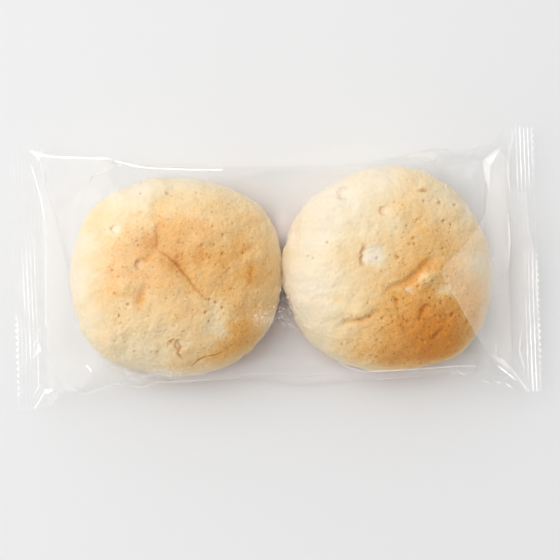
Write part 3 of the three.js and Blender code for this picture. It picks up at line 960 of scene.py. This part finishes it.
# The condensation
# Water that the rolls gave off. It stands as fine drops on the inside of the film, where the rolls touch and
# at the left roll's near edge, and nothing but its own cling holds it.

# Places of the drops: pixel across and down, spread across and down in pixels, how many
drop_groups = [
    (264, 317, 8, 5, 190), (283, 316, 6, 7, 260), (294, 315, 4, 10, 130), (282, 298, 3, 9, 80),
    (171, 370, 7, 2.5, 80),
]
FINEST_DROP = 0.05
DROP_RANGE = 0.16
DROP_FLATNESS = 0.6
DROP_SCATTER = 0.8  # how far a drop lies off the nearest point of the film's mesh
DROP_PAINTED_GLINT = 0.095
draw = np.random.default_rng(12)
film_points = get_points(film)
film_pixels = to_photo(film_points)
film_pixels[from_weld() < tube_girth / 4] = -1000
bpy.ops.object.select_all(action="DESELECT")
bpy.ops.mesh.primitive_ico_sphere_add(subdivisions=2, radius=MM)
drops = bpy.context.object
ball = get_points(drops)
ball[:, 2] *= DROP_FLATNESS
for across, down, spread_across, spread_down, count in drop_groups:
    for _ in range(count):
        spot = np.array([across, down]) + draw.normal(size=2) * (spread_across, spread_down)
        nearest = np.argmin(np.hypot(*(film_pixels - spot).T))
        drop = drops.copy()
        drop.data = drops.data.copy()
        bpy.context.scene.collection.objects.link(drop)
        size = FINEST_DROP + DROP_RANGE * draw.random() ** 2
        aside = draw.normal(size=3) * (DROP_SCATTER, DROP_SCATTER, 0)
        set_points(drop, film_points[nearest] + aside + ball * size)
        drop.select_set(True)
drops.select_set(False)
bpy.context.view_layer.objects.active = bpy.context.selected_objects[0]
bpy.data.objects.remove(drops)
bpy.ops.object.join()
drops = bpy.context.object
drops.name = "condensation"
bpy.ops.object.shade_smooth()

# Water drops: clear, with a painted glint of the window in each.
water, water_output = new_material("water, condensed in drops")
water_mix = lay_over(water, DROP_PAINTED_GLINT, clear(water), painted_window_glint(water))
water.node_tree.links.new(water_mix, water_output.inputs[0])
drops.data.materials.append(water)
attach(drops, "root")
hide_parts("roll_pack")

# The end seals
# Both sheets of the tube welded together between heated jaws, which press narrow ribs along the seal, and cut
# off with a zigzag knife.

SEAL_WIDTH = 12.5
SEAL_ROWS = 50
SEAL_COLUMNS = 252
RIB_PITCH = 1.6
RIB_HEIGHT = 0.3
RIBS = 7
TOOTH_PITCH = 2.6
TOOTH_DEPTH = 1.0
TOOTH_ROOM = 0.2  # share of the seal's width that the teeth and their slopes take
RIB_FADE = 0.8
CRUMPLE_SIZE = 9
CRUMPLE_HEIGHT = 0.25
# Stretches where the ribs carry a painted glint of the window: pixel across and down, half width and half
# length in pixels, and strength
left_glints = [(29, 305, 8, 58, 0.12), (15.5, 362, 3.5, 42, 0.14)]
right_glints = [(523.5, 154, 9.5, 32, 0.14), (530.5, 290, 7.5, 34, 0.16), (533.5, 357, 6.5, 38, 0.24)]
SEAL_PAINTED_GLOW = 0.3  # how much of the end panel's painted glow each sheet of the seal keeps
RIB_GLINT = 0.006  # everywhere else

# Heat-sealed film: as clear as the rest, with a painted glint of the window on the rib crests, the teeth and
# the film's creases.
sealed_film, sealed_output = new_material("clear packing film, heat sealed and ribbed")
shine = add_node(sealed_film, "ShaderNodeBsdfGlossy", Color=hex_colour("FFFFFF"), Roughness=0.1)
mirrored = slanted(sealed_film, 5.0, 0.6, 0.012)
seal_mix = lay_over(sealed_film, mirrored, clear(sealed_film), shine.outputs[0])
glowing = paint_glint_and_glow(sealed_film, seal_mix)
sealed_film.node_tree.links.new(glowing, sealed_output.inputs[0])

for name, side, glints in (("left_seal", -1, left_glints), ("right_seal", 1, right_glints)):
    bpy.ops.object.select_all(action="DESELECT")
    bpy.ops.mesh.primitive_grid_add(x_subdivisions=SEAL_ROWS, y_subdivisions=SEAL_COLUMNS, size=2 * MM)
    seal = bpy.context.object
    seal.name = name
    band = get_points(seal)
    out = (band[:, 0] * side + 1) / 2
    across = band[:, 1] * SEAL_LENGTH / 2
    tooth = 2 * np.abs((across / TOOTH_PITCH) % 1 - 0.5)
    toothed = np.clip((out - 1 + TOOTH_ROOM) / TOOTH_ROOM, 0, 1)
    reach = out * (SEAL_WIDTH - TOOTH_DEPTH * tooth * toothed)
    crumple = wavy_noise(np.stack([reach, across], axis=1), CRUMPLE_SIZE, 5 + side)
    ribbed = smooth_step(reach / RIB_FADE) * smooth_step((RIBS * RIB_PITCH + RIB_FADE - reach) / RIB_FADE)
    phase = 2 * math.pi * (reach / RIB_PITCH + 0.035 * crumple)
    rib = RIB_HEIGHT * ribbed * np.sin(phase)
    lift = CRUMPLE_HEIGHT * crumple * smooth_step(reach / 2)
    points = np.stack([side * (SEAL_FROM + reach), across, seal_height(across, side) + rib + lift], axis=1)
    set_points(seal, points)
    places = to_photo(points)
    strength = np.full(len(points), RIB_GLINT)
    for right, down, half_width, half_length, amount in glints:
        off = ((places - (right, down)) / (half_width, half_length)) ** 4
        strength = np.maximum(strength, amount * np.exp(-off.sum(axis=1)))
    patchy = np.clip(0.8 + 0.4 * wavy_noise(np.stack([6 * reach, across], axis=1), 30, 21 + side), 0, 1)
    crest = smooth_step((np.sin(phase + 0.9) - 0.65) / 0.35) * ribbed
    teeth = smooth_step((out - 0.9) / 0.06) * (tooth < 0.5)
    pinched = crease_marks(places)[1] / 2  # painted glint of the film's creases, shared by both sheets
    set_attribute(seal, "crease", np.maximum.reduce([crest * strength * patchy, teeth * strength, pinched]))
    set_attribute(seal, "panel", SEAL_PAINTED_GLOW * painted_panel_glow(places))
    apply_modifier(seal, "SOLIDIFY", thickness=2 * SHEET_GAP * MM, offset=0.0)
    bpy.ops.object.shade_smooth()
    seal.data.materials.append(sealed_film)
    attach(seal, "root")
    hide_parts("roll_pack")

# The studio
# A plain table top painted matt white, with a large soft light from the far left, pale walls all round and a
# camera straight above.

bpy.ops.object.select_all(action="DESELECT")
bpy.ops.mesh.primitive_plane_add(size=6)
table = bpy.context.object
table.name = "table_top"
# Matt paint: an even, pale grey white without any shine.
table_paint, table_output = new_material("matt white table paint")
paint = add_node(table_paint, "ShaderNodeBsdfPrincipled", Roughness=0.8, Base_Color=hex_colour("EDEDED"))
table_paint.node_tree.links.new(paint.outputs[0], table_output.inputs[0])
table.data.materials.append(table_paint)

# The light is one large square of soft daylight that faces the pack.
WINDOW_PLACE = (-0.75, 0.35, 1.35)
WINDOW_SIDE = 1.3
WINDOW_WATTS = 13.2
daylight = bpy.data.lights.new("window_light", "AREA")
daylight.shape = "RECTANGLE"
daylight.size = WINDOW_SIDE
daylight.size_y = WINDOW_SIDE
daylight.energy = WINDOW_WATTS
window = bpy.data.objects.new("window_light", daylight)
bpy.context.scene.collection.objects.link(window)
window.location = WINDOW_PLACE
right, far, up = WINDOW_PLACE
window.rotation_euler = (math.atan2(math.hypot(right, far), up), 0, math.atan2(-far, -right) - math.pi / 2)

studio = bpy.data.worlds.new("studio walls")
bpy.context.scene.world = studio
studio.use_nodes = True
walls = studio.node_tree.nodes["Background"]
facing = add_node(studio, "ShaderNodeTexCoord").outputs["Generated"]
height = add_node(studio, "ShaderNodeSeparateXYZ", Vector=facing).outputs["Z"]
shade = add_node(studio, "ShaderNodeValToRGB", Fac=height)
shade.color_ramp.elements[0].position = 0.45
shade.color_ramp.elements[0].color = (0.95, 0.95, 0.955, 1)
shade.color_ramp.elements[1].position = 0.85
shade.color_ramp.elements[1].color = (0.47, 0.47, 0.475, 1)
studio.node_tree.links.new(shade.outputs["Color"], walls.inputs["Color"])
BRIGHT_WALL = (-0.62, 0.75, 0)  # the way to the brightest wall
towards_window = add_node(
    studio, "ShaderNodeVectorMath", {"operation": "DOT_PRODUCT"}, _0=facing, _1=BRIGHT_WALL)
wall_light = math_node(studio, "MULTIPLY_ADD", towards_window.outputs["Value"], 0.43, 0.9)
studio.node_tree.links.new(wall_light, walls.inputs["Strength"])

camera_data = bpy.data.cameras.new("camera")
camera = bpy.data.objects.new("camera", camera_data)
bpy.context.scene.collection.objects.link(camera)
right, down = (FRAME_PIXELS / 2 - PACK_PIXEL) * PIXEL_SIZE * MM
camera.location = (
    right * math.cos(PACK_TURN) - down * math.sin(PACK_TURN),
    -right * math.sin(PACK_TURN) - down * math.cos(PACK_TURN),
    CAMERA_HEIGHT * MM,
)
camera.rotation_euler = (0, 0, -PACK_TURN)
camera_data.sensor_width = 36
frame_width = FRAME_PIXELS * PIXEL_SIZE
camera_data.lens = camera_data.sensor_width * (CAMERA_HEIGHT - PIXEL_SIZE_HEIGHT) / frame_width
camera_data.clip_end = 10
bpy.context.scene.camera = camera
bpy.context.scene.view_settings.view_transform = "Standard"
